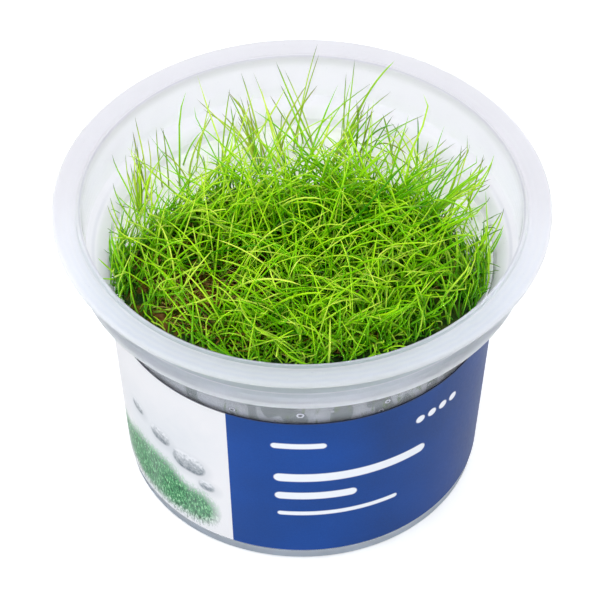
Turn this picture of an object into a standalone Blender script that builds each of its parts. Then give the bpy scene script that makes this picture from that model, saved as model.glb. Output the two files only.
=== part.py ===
"""Dwarf hairgrass grown into one turf on gel, in a round plastic culture cup with a wrap label.

Units are metres and +Z is up. The origin is the centre of the cup's underside.
Nodes: cup, label, gel, and tuft_01 to tuft_13.
"""

import math
import random

import bmesh
import bpy
from mathutils import Matrix, Vector

# The cup
CUP_HEIGHT = 0.063
RIM_RADIUS = 0.0475
FLANGE_THICKNESS = 0.0011
FLANGE_INNER_RADIUS = 0.0429
NECK_INNER_RADIUS = 0.0420
NECK_FOOT_INNER_RADIUS = 0.0413
NECK_FOOT = 0.0535
NECK_WALL = 0.0009
COLLAR_RADIUS = 0.0435
COLLAR_TOP = 0.0560
COLLAR_FOOT = 0.0523
COLLAR_ROUNDING = 0.0010
LEDGE_RADIUS = 0.0387
LEDGE_HEIGHT = 0.0516
LEDGE_EASING = 0.0007
LEDGE_DROP = 0.0008
SHOULDER_OUT = 0.0014
SHOULDER_UP = 0.0010
BODY_BASE_RADIUS = 0.03426
BODY_TAPER = 0.0708
BODY_TOP = 0.0500
BODY_WALL = 0.0009
BASE_FILLET = 0.0014
FLOOR_FILLET = 0.0012
FLOOR_THICKNESS = 0.0012
UNDERSIDE_FILLET = 0.0005
ROUND_SEGMENTS = 48

# The label
LABEL_FOOT = 0.0033
LABEL_TOP = 0.0420
LABEL_THICKNESS = 0.00025
LABEL_SEAM_ANGLE = math.radians(2.5)

# The gel
GEL_TOP = 0.0496
GEL_FOOT_CHAMFER = 0.0014

# The turf: plantlets that share a round bed, each with its locks of leaves
TURF_RADIUS = 0.0354
TURF_SIDES = 40
SHORTEST_SIDE = 0.0024
TUFTS = 13
TURF_SEED = 11
LOCKS_ROUND_A_TUFT = 5
LOCK_SPREAD = 0.62
EVENING_ROUNDS = 3
GOLDEN_ANGLE = math.pi * (3 - math.sqrt(5))
CROWN_HEIGHT = 0.0064
CROWN_HEIGHT_SPREAD = 0.0008
CROWN_ROUNDING = 0.0012
LOCK_RADIUS = 0.0033
LOCK_TIP_RADIUS = 0.00018
LOCK_THINNING = 1.15
LOCK_SIDES = 5
LOCK_STEPS = 4
LOCK_ROOT_DEPTH = 0.0022
LOCK_SPLAY = 0.0028
LOCK_JITTER = 0.0010
TIP_LIMIT = TURF_RADIUS - 0.0004
EDGE_TIP_HEIGHT = 0.0655
MIDDLE_TIP_HEIGHT = 0.0708
TIP_HEIGHT_SPREAD = 0.0025
TALLEST_TIP_HEIGHT = 0.0768
TALLEST_TIP_PLACE = Vector((0.003, 0.029))
TALLEST_TIP_SLOPE = 0.9

# The clearance left between pieces that touch
GAP = 0.0003


def remove_everything():
    for thing in list(bpy.data.objects):
        bpy.data.objects.remove(thing, do_unlink=True)


def make_material(name, color, roughness, alpha=1.0):
    material = bpy.data.materials.new(name)
    material.use_nodes = True
    shader = material.node_tree.nodes["Principled BSDF"]
    shader.inputs["Base Color"].default_value = (*color, 1.0)
    shader.inputs["Roughness"].default_value = roughness
    shader.inputs["Metallic"].default_value = 0.0
    shader.inputs["Alpha"].default_value = alpha
    material.diffuse_color = (*color, alpha)
    return material


def make_object(name, bm, material):
    """Turns a bmesh into a smooth-shaded object with its faces pointing out."""
    bmesh.ops.recalc_face_normals(bm, faces=bm.faces)
    mesh = bpy.data.meshes.new(name)
    bm.to_mesh(mesh)
    bm.free()
    mesh.shade_smooth()
    mesh.set_sharp_from_angle(angle=math.radians(35))
    mesh.materials.append(material)
    thing = bpy.data.objects.new(name, mesh)
    bpy.context.scene.collection.objects.link(thing)
    return thing


def body_radius(height):
    """The outer radius of the tapered body at a height above the base."""
    return BODY_BASE_RADIUS + BODY_TAPER * height


def arc(center, radius, start, end, steps):
    """Points of a flat arc from one angle to another, in degrees."""
    points = []
    for i in range(steps + 1):
        angle = math.radians(start + (end - start) * i / steps)
        points.append((center[0] + radius * math.cos(angle), center[1] + radius * math.sin(angle)))
    return points


def turn(profile, sweep=math.tau):
    """Turns (radius, height) points round the Z axis and welds the poles and the seam."""
    bm = bmesh.new()
    corners = [bm.verts.new((radius, 0.0, height)) for radius, height in profile]
    edges = [bm.edges.new(pair) for pair in zip(corners, corners[1:])]
    full = sweep == math.tau
    bmesh.ops.spin(bm, geom=corners + edges, cent=(0, 0, 0), axis=(0, 0, 1), angle=sweep,
                   steps=ROUND_SEGMENTS, use_merge=full)
    bmesh.ops.remove_doubles(bm, verts=bm.verts, dist=1e-6)
    return bm


def cup_outside():
    """The cup's outer profile, from the middle of the base up to the flange's underside."""
    base_corner = (body_radius(BASE_FILLET) - BASE_FILLET, BASE_FILLET)
    collar_corner = (COLLAR_RADIUS - COLLAR_ROUNDING, COLLAR_FOOT + COLLAR_ROUNDING)
    neck_radius = NECK_INNER_RADIUS + NECK_WALL
    collar_step = COLLAR_RADIUS - neck_radius
    underside = CUP_HEIGHT - FLANGE_THICKNESS
    points = [(0.0, 0.0)]
    points += arc(base_corner, BASE_FILLET, -90, 0, 3)
    points.append((body_radius(BODY_TOP), BODY_TOP))
    points.append((body_radius(BODY_TOP) + SHOULDER_OUT, BODY_TOP + SHOULDER_UP))
    points += arc(collar_corner, COLLAR_ROUNDING, -80, 0, 3)
    points.append((COLLAR_RADIUS, COLLAR_TOP - collar_step))
    points.append((neck_radius, COLLAR_TOP))
    points.append((neck_radius, underside - UNDERSIDE_FILLET))
    points.append((neck_radius + UNDERSIDE_FILLET, underside))
    return points


def cup_rim():
    """The flange's rounded lip and flat top."""
    half = FLANGE_THICKNESS / 2
    lip = arc((RIM_RADIUS - half, CUP_HEIGHT - half), half, -90, 90, 4)
    return lip + [(FLANGE_INNER_RADIUS, CUP_HEIGHT)]


def cup_inside():
    """The cup's inner profile, from the flange's inner edge down to the middle of the floor."""
    fillet = FLANGE_INNER_RADIUS - NECK_INNER_RADIUS
    mouth_corner = (FLANGE_INNER_RADIUS, CUP_HEIGHT - fillet)
    floor_corner = (body_radius(FLOOR_THICKNESS) - BODY_WALL - FLOOR_FILLET, FLOOR_THICKNESS + FLOOR_FILLET)
    points = arc(mouth_corner, fillet, 90, 180, 3)[1:]
    points.append((NECK_FOOT_INNER_RADIUS, NECK_FOOT))
    points.append((NECK_FOOT_INNER_RADIUS - LEDGE_EASING, NECK_FOOT - LEDGE_EASING))
    points.append((LEDGE_RADIUS, LEDGE_HEIGHT))
    points.append((LEDGE_RADIUS - SHOULDER_OUT, LEDGE_HEIGHT - LEDGE_DROP))
    points.append((body_radius(GEL_TOP) - BODY_WALL, GEL_TOP))
    points += arc(floor_corner, FLOOR_FILLET, 0, -90, 2)
    points.append((0.0, FLOOR_THICKNESS))
    return points


def build_cup(material):
    return make_object("cup", turn(cup_outside() + cup_rim() + cup_inside()), material)


def build_label(material):
    """A thin tapered band that wraps the body and stops short of itself at the back."""
    foot = body_radius(LABEL_FOOT) + GAP
    top = body_radius(LABEL_TOP) + GAP
    ring = [(foot, LABEL_FOOT), (foot + LABEL_THICKNESS, LABEL_FOOT),
            (top + LABEL_THICKNESS, LABEL_TOP), (top, LABEL_TOP)]
    bm = turn(ring + ring[:1], math.tau - LABEL_SEAM_ANGLE)
    bmesh.ops.holes_fill(bm, edges=bm.edges, sides=4)
    seam_at_the_back = Matrix.Rotation(math.radians(90) + LABEL_SEAM_ANGLE / 2, 4, "Z")
    bm.transform(seam_at_the_back)
    return make_object("label", bm, material)


def build_gel(material):
    """The gel fills the tapered body up to the ledge."""
    floor = FLOOR_THICKNESS + GAP
    foot = body_radius(floor) - BODY_WALL - GAP
    top = body_radius(GEL_TOP) - BODY_WALL - GAP
    profile = [(0.0, floor), (foot - GEL_FOOT_CHAMFER, floor), (foot, floor + GEL_FOOT_CHAMFER),
               (top, GEL_TOP), (0.0, GEL_TOP)]
    return make_object("gel", turn(profile), material)


def clip(outline, point, normal):
    """The part of a convex outline on the far side of a line from the line's normal."""
    kept = []
    for a, b in zip(outline, outline[1:] + outline[:1]):
        above_a, above_b = (a - point).dot(normal), (b - point).dot(normal)
        if above_a <= 0:
            kept.append(a)
        if above_a * above_b < 0:
            kept.append(a.lerp(b, above_a / (above_a - above_b)))
    return kept


def centroid(outline):
    """The middle of an outline's area, from the triangles that it makes with its first corner."""
    first = outline[0]
    total, area = Vector((0.0, 0.0)), 0.0
    for a, b in zip(outline[1:], outline[2:]):
        share = (a - first).cross(b - first) / 2
        total += (first + a + b) / 3 * share
        area += share
    return total / area


def share_of_turf(seed, seeds, gap):
    """The ground nearer to one plantlet than to any other, inside the round bed."""
    outline = [Vector(place) for place in arc((0, 0), TURF_RADIUS, 0, 360, TURF_SIDES)[:-1]]
    for other in seeds:
        if other is not seed:
            away = (other - seed).normalized()
            outline = clip(outline, (seed + other) / 2 - away * gap / 2, away)
    return outline


def without_short_sides(outline):
    """The outline less the corners that crowd the one before them. It only shrinks, being convex."""
    kept = []
    for corner in outline:
        if all((corner - other).length > SHORTEST_SIDE for other in kept):
            kept.append(corner)
    return kept


def tuft_outlines():
    """Plantlets start on a sunflower spiral and are evened out by moving each to its share's middle."""
    seeds = []
    for i in range(TUFTS):
        radius, angle = TURF_RADIUS * math.sqrt((i + 0.5) / TUFTS), i * GOLDEN_ANGLE
        seeds.append(Vector((radius * math.cos(angle), radius * math.sin(angle))))
    for _ in range(EVENING_ROUNDS):
        seeds = [centroid(share_of_turf(seed, seeds, 0.0)) for seed in seeds]
    return [without_short_sides(share_of_turf(seed, seeds, GAP)) for seed in seeds]


def build_crown(outline, lift):
    """The packed leaf bases of one tuft: a block with a rounded edge and a raised middle."""
    bm = bmesh.new()
    foot = GEL_TOP + GAP
    shoulder = foot + CROWN_HEIGHT - CROWN_ROUNDING + lift
    bottom = bm.faces.new([bm.verts.new((place.x, place.y, foot)) for place in outline])
    block = bmesh.ops.extrude_face_region(bm, geom=[bottom], use_keep_orig=True)
    raised = [part for part in block["geom"] if isinstance(part, bmesh.types.BMVert)]
    top = [part for part in block["geom"] if isinstance(part, bmesh.types.BMFace)]
    bmesh.ops.translate(bm, verts=raised, vec=(0, 0, shoulder - foot))
    bmesh.ops.inset_region(bm, faces=top, thickness=CROWN_ROUNDING, use_even_offset=True)
    bmesh.ops.translate(bm, verts=top[0].verts, vec=(0, 0, CROWN_ROUNDING))
    middle = bmesh.ops.poke(bm, faces=top)["verts"]
    bmesh.ops.translate(bm, verts=middle, vec=(0, 0, CROWN_ROUNDING))
    return bm


def build_lock(root, root_radius, tip):
    """A tapered lock of leaves that rises from its root and bends over towards its tip."""
    bm = bmesh.new()
    rise = tip.z - root.z
    lean = Vector((tip.x - root.x, tip.y - root.y, 0.0))
    loops = []
    for i in range(LOCK_STEPS + 1):
        along = i / LOCK_STEPS
        center = root + lean * along ** 2 + Vector((0, 0, rise * along))
        heading = (lean * 2 * along + Vector((0, 0, rise))).normalized()
        turned = heading.to_track_quat("Z", "X").to_matrix().to_4x4()
        radius = LOCK_TIP_RADIUS + (root_radius - LOCK_TIP_RADIUS) * (1 - along) ** LOCK_THINNING
        ring = bmesh.ops.create_circle(bm, segments=LOCK_SIDES, radius=radius,
                                       matrix=Matrix.Translation(center) @ turned)
        loops.append(list({edge for corner in ring["verts"] for edge in corner.link_edges}))
    bmesh.ops.holes_fill(bm, edges=loops[0] + loops[-1], sides=LOCK_SIDES)
    for lower, upper in zip(loops, loops[1:]):
        bmesh.ops.bridge_loops(bm, edges=lower + upper)
    return bm


def distance_to_edge(outline, start, heading):
    """How far a ray from inside an outline runs before it leaves it."""
    nearest = math.inf
    for a, b in zip(outline, outline[1:] + outline[:1]):
        side = b - a
        slope = heading.cross(side)
        if slope > 1e-9:
            nearest = min(nearest, (a - start).cross(side) / slope)
    return nearest


def room_inside(outline, place):
    """How far a place inside an outline is from the nearest of its sides."""
    sides = zip(outline, outline[1:] + outline[:1])
    return min((b - a).normalized().cross(place - a) for a, b in sides)


def lock_places(outline, turned):
    """Where one tuft's locks grow: one in the middle and the others in a ring inside its outline."""
    middle = centroid(outline)
    places = [middle]
    for i in range(LOCKS_ROUND_A_TUFT):
        angle = turned + math.tau * i / LOCKS_ROUND_A_TUFT
        heading = Vector((math.cos(angle), math.sin(angle)))
        places.append(middle + heading * distance_to_edge(outline, middle, heading) * LOCK_SPREAD)
    return places


def tip_of(place, tallest, draw):
    """A lock's tip: locks splay outwards, and rise to the tallest one at the back of the turf."""
    share = place.length / TURF_RADIUS
    height = MIDDLE_TIP_HEIGHT + (EDGE_TIP_HEIGHT - MIDDLE_TIP_HEIGHT) * share ** 2
    height += draw.uniform(-1, 1) * TIP_HEIGHT_SPREAD
    peak = TALLEST_TIP_HEIGHT - TALLEST_TIP_SLOPE * (place - tallest).length
    outward = place.normalized() * LOCK_SPLAY * share
    sideways = Vector((draw.uniform(-1, 1), draw.uniform(-1, 1))) * LOCK_JITTER
    ground = place + outward + sideways
    if ground.length > TIP_LIMIT:
        ground = ground.normalized() * TIP_LIMIT
    return Vector((ground.x, ground.y, max(height, peak)))


def build_tuft(name, outline, places, tallest, material, draw):
    """One plantlet: its crown, with its locks of leaves joined to it by unions."""
    lift = draw.uniform(-1, 1) * CROWN_HEIGHT_SPREAD
    tuft = make_object(name, build_crown(outline, lift), material)
    for i, place in enumerate(places):
        root = Vector((place.x, place.y, GEL_TOP + CROWN_HEIGHT - LOCK_ROOT_DEPTH))
        root_radius = min(LOCK_RADIUS, room_inside(outline, place))
        shape = build_lock(root, root_radius, tip_of(place, tallest, draw))
        lock = make_object(f"{name}_lock_{i + 1}", shape, material)
        lock.hide_render = True
        lock.display_type = "WIRE"
        union = tuft.modifiers.new(f"lock_{i + 1}", "BOOLEAN")
        union.operation = "UNION"
        union.solver = "EXACT"
        union.object = lock
    return tuft


def build_turf(material):
    draw = random.Random(TURF_SEED)
    outlines = tuft_outlines()
    tufts = [lock_places(outline, draw.uniform(0, math.tau)) for outline in outlines]
    every_place = [place for places in tufts for place in places]
    tallest = min(every_place, key=lambda place: (place - TALLEST_TIP_PLACE).length)
    for number, (outline, places) in enumerate(zip(outlines, tufts), 1):
        build_tuft(f"tuft_{number:02d}", outline, places, tallest, material, draw)


def main():
    remove_everything()
    build_cup(make_material("milky_plastic", (0.86, 0.88, 0.92), 0.32, 0.55))
    build_label(make_material("printed_label", (0.045, 0.10, 0.31), 0.42))
    build_gel(make_material("nutrient_gel", (0.52, 0.56, 0.56), 0.25, 0.80))
    build_turf(make_material("hairgrass", (0.30, 0.56, 0.05), 0.55))


main()
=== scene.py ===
# %% [markdown]
# # Dwarf hairgrass in its culture cup
# Some hundreds of tiny plants grow in a laboratory cup on a bed of nutrient gel. This lesson dresses
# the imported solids: the moulded cup, its printed wrap, the gel with its bubbles, and the turf, which is
# where nearly all of the work goes. Each step first says what the thing is on the real object.

import math

import bpy
import numpy as np
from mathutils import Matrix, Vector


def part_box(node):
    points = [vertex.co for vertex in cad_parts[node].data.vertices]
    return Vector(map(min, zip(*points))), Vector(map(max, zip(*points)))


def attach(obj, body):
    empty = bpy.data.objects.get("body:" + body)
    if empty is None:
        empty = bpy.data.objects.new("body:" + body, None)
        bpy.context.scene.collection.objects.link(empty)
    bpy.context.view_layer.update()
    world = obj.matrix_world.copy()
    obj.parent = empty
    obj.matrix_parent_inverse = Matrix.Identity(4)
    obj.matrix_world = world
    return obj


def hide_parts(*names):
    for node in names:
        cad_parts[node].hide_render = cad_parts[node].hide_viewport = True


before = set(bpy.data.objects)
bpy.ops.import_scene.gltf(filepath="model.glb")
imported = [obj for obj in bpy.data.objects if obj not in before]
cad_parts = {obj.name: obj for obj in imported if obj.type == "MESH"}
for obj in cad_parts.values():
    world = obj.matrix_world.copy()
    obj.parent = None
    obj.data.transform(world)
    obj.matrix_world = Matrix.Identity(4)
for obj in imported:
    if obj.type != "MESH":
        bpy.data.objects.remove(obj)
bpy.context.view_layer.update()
mm = 0.001

# %% [markdown]
# ## Sizes that everything shares
# The solids already have the real size, so the main sizes are read from their boxes. Only what a box
# can't tell, such as where the neck starts, is a named value of its own.

# %% Read the sizes
rim_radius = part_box("cup")[1].x
cup_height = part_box("cup")[1].z
label_foot, label_top = (corner.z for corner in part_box("label"))
gel_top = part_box("gel")[1].z
tuft_names = sorted(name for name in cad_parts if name.startswith("tuft_"))
turf_foot = min(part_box(name)[0].z for name in tuft_names)
tallest_tip = max(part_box(name)[1].z for name in tuft_names)
turf_radius = max(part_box(name)[1].x for name in tuft_names)
print(f"rim {rim_radius / mm:.1f}, cup {cup_height / mm:.1f}, turf {turf_radius / mm:.1f} mm,",
      f"{len(tuft_names)} tufts up to {tallest_tip / mm:.1f} mm")

# %% [markdown]
# ## The camera
# The picture was taken from 45 degrees above and from far away, which shows in how little the rim
# narrows towards the back. A long lens at sixteen rim radii gives that view. The sensor is 36 mm wide,
# so the focal length is 36 mm times the lens's length in picture widths.

# %% Place the camera
camera_elevation = math.radians(45.17)
camera_distance = 16 * rim_radius
look_at = np.array([0.0, 0.0, cup_height - 0.543 * rim_radius])
focal_in_picture_widths = 6.52
sensor_width = 36.0
offset_in_picture_widths = -2 / 600


def into_scene(name, data):
    """Makes an object of a mesh, a light or a camera, and links it to the scene."""
    made = bpy.data.objects.new(name, data)
    bpy.context.scene.collection.objects.link(made)
    return made


def aim(thing, place, target):
    """Puts a camera or a light at a place and turns its -Z axis to the target."""
    heading = np.asarray(target, float) - np.asarray(place, float)
    level = math.hypot(heading[0], heading[1])
    thing.location = place
    thing.rotation_euler = (math.atan2(level, -heading[2]), 0.0, math.atan2(-heading[0], heading[1]))


lens = bpy.data.cameras.new("camera")
lens.sensor_width = sensor_width
lens.lens = focal_in_picture_widths * sensor_width
lens.shift_x = offset_in_picture_widths
lens.clip_start, lens.clip_end = 0.01, 20.0
camera = into_scene("camera", lens)
bpy.context.scene.camera = camera
camera_offset = camera_distance * np.array([0.0, -math.cos(camera_elevation), math.sin(camera_elevation)])
aim(camera, look_at + camera_offset, look_at)
print(f"lens {lens.lens:.1f} mm at {camera_distance:.2f} m")

# %% [markdown]
# ## Shader helpers
# A material is a small tree of nodes, and so is the world's light. These helpers only save typing: they
# make a node and feed its inputs by name, add sums, ramps and mixes, and start and finish a material.
# A socket knows which tree it is in, so a node that is fed by one finds its own tree.

# %% Helpers for nodes
def feed(socket, value):
    """Links an input to a socket, or sets it to a value. A colour is given as three numbers."""
    if isinstance(value, bpy.types.NodeSocket):
        socket.id_data.links.new(value, socket)
    else:
        socket.default_value = (*value, 1.0) if socket.type == "RGBA" else value


def tree_of(values):
    """The tree of the first socket among some values."""
    return next(value.id_data for value in values if isinstance(value, bpy.types.NodeSocket))


def node(kind, tree=None, **inputs):
    """Adds a shader node and feeds its inputs.

    An input's name is written with underscores for its blanks; _0, _1 and _2 are inputs by number.
    """
    tree = tree or tree_of(inputs.values())
    made = tree.nodes.new("ShaderNode" + kind)
    for name, value in inputs.items():
        feed(made.inputs[int(name[1:]) if name[1:].isdigit() else name.replace("_", " ")], value)
    return made


def calc(operation, *values, clamp=False):
    """One Math node's result, for values or sockets."""
    made = node("Math", **{f"_{i}": value for i, value in enumerate(values)})
    made.operation = operation
    made.use_clamp = clamp
    return made.outputs[0]


def times(product, *others):
    """The product of values or sockets."""
    for other in others:
        product = calc("MULTIPLY", product, other)
    return product


def course(value, start, end, low=0.0, high=1.0):
    """Goes evenly from low to high while a value goes from start to end, and is held beyond."""
    made = node("MapRange", Value=value, From_Min=start, From_Max=end, To_Min=low, To_Max=high)
    return made.outputs["Result"]


def ramp(factor, *stops):
    """A Color Ramp with its (place, color) stops."""
    made = node("ValToRGB", Fac=factor)
    elements = made.color_ramp.elements
    for stop in range(len(stops) - len(elements)):
        elements.new(0.5 + 0.01 * stop)
    for element, (place, color) in zip(elements, stops):
        element.position = place
        element.color = (*color, 1.0)
    return made.outputs["Color"]


def mixed(factor, first, second, blend="MIX"):
    """Mixes two colors, or sockets, by a factor."""
    made = node("Mix", tree_of((factor, first, second)))
    made.data_type = "RGBA"
    made.blend_type = blend
    for number, value in ((0, factor), (6, first), (7, second)):
        feed(made.inputs[number], value)
    return made.outputs[2]


def split(place):
    """A place's X, Y and Z."""
    return node("SeparateXYZ", Vector=place).outputs


def from_axis(place):
    """A place's distance from the Z axis."""
    x, y, _ = split(place)
    length = node("VectorMath", _0=node("CombineXYZ", X=x, Y=y).outputs[0])
    length.operation = "LENGTH"
    return length.outputs["Value"]


def bumpy(height, strength, distance):
    """A Bump node's normal."""
    return node("Bump", Height=height, Strength=strength, Distance=distance).outputs["Normal"]


def new_material(name):
    """A node material with only a Principled BSDF, and the place on the piece."""
    material = bpy.data.materials.new(name)
    material.use_nodes = True
    return material, node("TexCoord", material.node_tree).outputs["Object"]


def finished(material, **inputs):
    """Feeds the shader's inputs and gives the material back."""
    shader = material.node_tree.nodes["Principled BSDF"]
    for name, value in inputs.items():
        feed(shader.inputs[name.replace("_", " ")], value)
    return material


# %% [markdown]
# ## Light
# A cup like this is photographed in a white tent: light comes from everywhere. A bright world stands
# for the tent. Its walls are brighter than its roof, which brings light through the cup's walls into
# the cavity, and rays from the camera see it plain white. Three soft boxes add to it: one above gives
# the wet leaves their thin highlights, one behind lights the rim, and a cool one in front lifts the neck.

# %% Light the tent
studio = bpy.context.scene
studio.view_settings.view_transform = "Standard"
studio.view_settings.look = "None"
wall_light = 1.05
roof_light = 0.66
tent_seen = 1.0

world = bpy.data.worlds.new("tent")
studio.world = world
world.use_nodes = True
sky = world.node_tree
sky.nodes.clear()
upwards = split(node("TexCoord", sky).outputs["Generated"])["Z"]
tent_light = course(upwards, 0.0, 1.0, wall_light, roof_light)
soft_white = node("Background", Color=(0.96, 0.97, 1.0), Strength=tent_light)
plain_white = node("Background", sky, Color=(1.0, 1.0, 1.0), Strength=tent_seen)
either = node("MixShader", Fac=node("LightPath", sky).outputs["Is Camera Ray"],
              _1=soft_white.outputs[0], _2=plain_white.outputs[0])
node("OutputWorld", Surface=either.outputs[0])


def soft_box(name, place, width, power, color):
    """A square area light that looks at the turf. Power is in watts, width in metres."""
    light = bpy.data.lights.new(name, "AREA")
    light.shape = "SQUARE"
    light.size = width
    light.energy = power
    light.color = color
    aim(into_scene(name, light), place, (0.0, 0.0, gel_top))


soft_box("key_light", (-0.30, -0.20, 1.05), 0.45, 3.75, (1.0, 0.99, 0.96))
soft_box("back_light", (0.25, 0.7, 0.35), 0.6, 2.0, (1.0, 1.0, 1.0))
soft_box("front_light", (-0.25, -1.1, 0.60), 0.8, 3.1, (0.78, 0.89, 1.0))
print("a tent and three soft boxes")

# %% [markdown]
# ## From arrays to meshes
# Every new piece here is a surface worked out with numpy: rows of points, with faces between one row
# and the next. A few helpers do the counting, so that each piece only has to say where its points are.

# %% Helpers for grids of points
def grid_quads(rows, columns, closed):
    """Corner numbers of the quads between neighbouring rows of a grid.

    Point (i, j) has the number i * columns + j. A quad runs (i, j), (i, j+1), (i+1, j+1), (i+1, j).
    A closed grid also joins each row's last point to its first.
    """
    i, j = np.meshgrid(np.arange(rows - 1), np.arange(columns if closed else columns - 1), indexing="ij")
    along = (j + 1) % columns
    corners = [i * columns + j, i * columns + along, (i + 1) * columns + along, (i + 1) * columns + j]
    return np.stack(corners, -1).reshape(-1, 4)


def ringed_faces(rows, columns):
    """Quads and triangles of a closed surface: rings of points, then a pole for either end.

    The poles are numbered after the rings. Faces point outwards where the first ring is at the foot.
    """
    count = rows * columns
    ring = np.arange(columns)
    following = np.roll(ring, -1)
    last = count - columns
    first_fan = np.stack([np.full(columns, count), following, ring], -1)
    last_fan = np.stack([ring + last, following + last, np.full(columns, count + 1)], -1)
    return grid_quads(rows, columns, True), np.concatenate([first_fan, last_fan])


def repeated(faces, copies, points_each):
    """The faces of many like grids whose points follow one another, from the faces of one."""
    start = np.arange(copies)[:, None, None] * points_each
    return (faces + start).reshape(-1, faces.shape[1])


def mesh_of(name, points, quads, triangles):
    """Puts points and faces into a new smooth-shaded mesh with foreach_set."""
    quads, triangles = np.asarray(quads).reshape(-1, 4), np.asarray(triangles).reshape(-1, 3)
    corners = np.concatenate([quads.ravel(), triangles.ravel()]).astype(np.int32)
    sizes = np.repeat([4, 3], [len(quads), len(triangles)])
    starts = np.concatenate([[0], np.cumsum(sizes)[:-1]]).astype(np.int32)
    mesh = bpy.data.meshes.new(name)
    mesh.vertices.add(len(points))
    mesh.vertices.foreach_set("co", np.asarray(points, np.float32).ravel())
    mesh.loops.add(len(corners))
    mesh.loops.foreach_set("vertex_index", corners)
    mesh.polygons.add(len(sizes))
    mesh.polygons.foreach_set("loop_start", starts)
    mesh.update(calc_edges=True)
    mesh.shade_smooth()
    return mesh


def carry(mesh, name, values):
    """Stores a value, or a colour of four numbers, with each point of a mesh."""
    kind, field = ("FLOAT_COLOR", "color") if values.ndim == 2 else ("FLOAT", "value")
    layer = mesh.attributes.new(name, kind, "POINT")
    layer.data.foreach_set(field, values.astype(np.float32).ravel())


def carried(place, name):
    """The outputs of a node that reads such values, in the tree that a place is in."""
    made = node("Attribute", place.id_data)
    made.attribute_name = name
    return made.outputs


def triples(items, field):
    """Three numbers of every point or face of a mesh, as an array."""
    values = np.empty(len(items) * 3, np.float32)
    items.foreach_get(field, values)
    return values.reshape(-1, 3)


def put(name, mesh, material, nodes):
    """Makes a finished piece of the object: it rides on the root body and stands for its CAD nodes."""
    mesh.materials.append(material)
    piece = into_scene(name, mesh)
    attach(piece, "root")
    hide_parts(*nodes)
    triangles = sum(len(face.vertices) - 2 for face in mesh.polygons)
    print(f"{name}: {len(mesh.vertices)} points, {triangles} triangles")


# %% [markdown]
# ## Turned shapes
# The cup and the gel are round, so each is a profile carried round the Z axis. A moulded profile has
# no sharp corners, so it is drawn as corners with a fillet radius each, and a helper rounds them.

# %% Helpers for turned shapes
too_small = 1e-7


def rounded(corners, steps=6):
    """A profile of (radius, height) points from corners of (radius, height, fillet).

    At a corner with unit directions a and b to its neighbours, the fillet touches each side at
    fillet / tan(half the angle between a and b). The arc between is drawn by turning from one touching
    point to the other round the fillet's centre, which lies on the middle line of a and b.
    """
    places = np.array([corner[:2] for corner in corners])
    profile = [places[:1]]
    for before, here, after, corner in zip(places, places[1:], places[2:], corners[1:]):
        a = (before - here) / np.linalg.norm(before - here)
        b = (after - here) / np.linalg.norm(after - here)
        half = math.acos(np.clip(a @ b, -1, 1)) / 2
        reach = corner[2] / math.tan(half)
        if reach < too_small:
            profile.append(here[None])
            continue
        center = here + (a + b) / np.linalg.norm(a + b) * corner[2] / math.sin(half)
        start, end = here + a * reach - center, here + b * reach - center
        turn = math.atan2(start[0] * end[1] - start[1] * end[0], start @ end)
        angle = turn * np.linspace(0, 1, steps + 1)[:, None]
        profile.append(center + np.cos(angle) * start + np.sin(angle) * (-start[1], start[0]))
    profile.append(places[-1:])
    return np.concatenate(profile)


def fine(profile, step):
    """Adds points along each straight side of a profile, so that none is longer than a step."""
    lengths = np.linalg.norm(np.diff(profile, axis=0), axis=1)
    pieces = [np.linspace(a, b, max(1, math.ceil(length / step)), endpoint=False)
              for a, b, length in zip(profile, profile[1:], lengths)]
    return np.concatenate(pieces + [profile[-1:]])


def on_rings(radius, angle, height):
    """Points (radius cos angle, radius sin angle, height), with the three broadcast to one grid."""
    return np.stack(np.broadcast_arrays(radius * np.cos(angle), radius * np.sin(angle), height), -1)


def distance_of(places):
    """How far places lie from the axis."""
    return np.hypot(places[..., 0], places[..., 1])


def angle_of(places):
    """In which direction places lie from the axis: -pi / 2 is the front."""
    return np.arctan2(places[..., 1], places[..., 0])


def turned(name, profile, columns):
    """Carries a profile that starts and ends on the axis round it, as a mesh."""
    ring = profile[1:-1]
    angle = np.linspace(0, math.tau, columns, endpoint=False)
    points = on_rings(ring[:, :1], angle, ring[:, 1:]).reshape(-1, 3)
    poles = [[0, 0, profile[0, 1]], [0, 0, profile[-1, 1]]]
    return mesh_of(name, np.concatenate([points, poles]), *ringed_faces(len(ring), columns))


# %% [markdown]
# ## Patterns that finishes share
# Two patterns come as node groups, each built once with named inputs: soft mottling, which keeps any
# finish from being even, and fine lines round the axis, as a turned mould leaves them.

# %% The mottling group
def group_of(name, output, **inputs):
    """An empty shader group with a Vector, float inputs by name and value, and one float output."""
    tree = bpy.data.node_groups.new(name, "ShaderNodeTree")
    tree.interface.new_socket("Vector", in_out="INPUT", socket_type="NodeSocketVector")
    for title, value in inputs.items():
        socket = tree.interface.new_socket(title.replace("_", " "), in_out="INPUT",
                                           socket_type="NodeSocketFloat")
        socket.default_value = value
    tree.interface.new_socket(output, in_out="OUTPUT", socket_type="NodeSocketFloat")
    return tree, tree.nodes.new("NodeGroupInput").outputs, tree.nodes.new("NodeGroupOutput").inputs[0]


def use(group, place, **inputs):
    """Places a group in a material with its own values, and gives its output."""
    made = node("Group", place.id_data)
    made.node_tree = group
    for name, value in {"Vector": place, **inputs}.items():
        feed(made.inputs[name.replace("_", " ")], value)
    return made.outputs[0]


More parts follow.
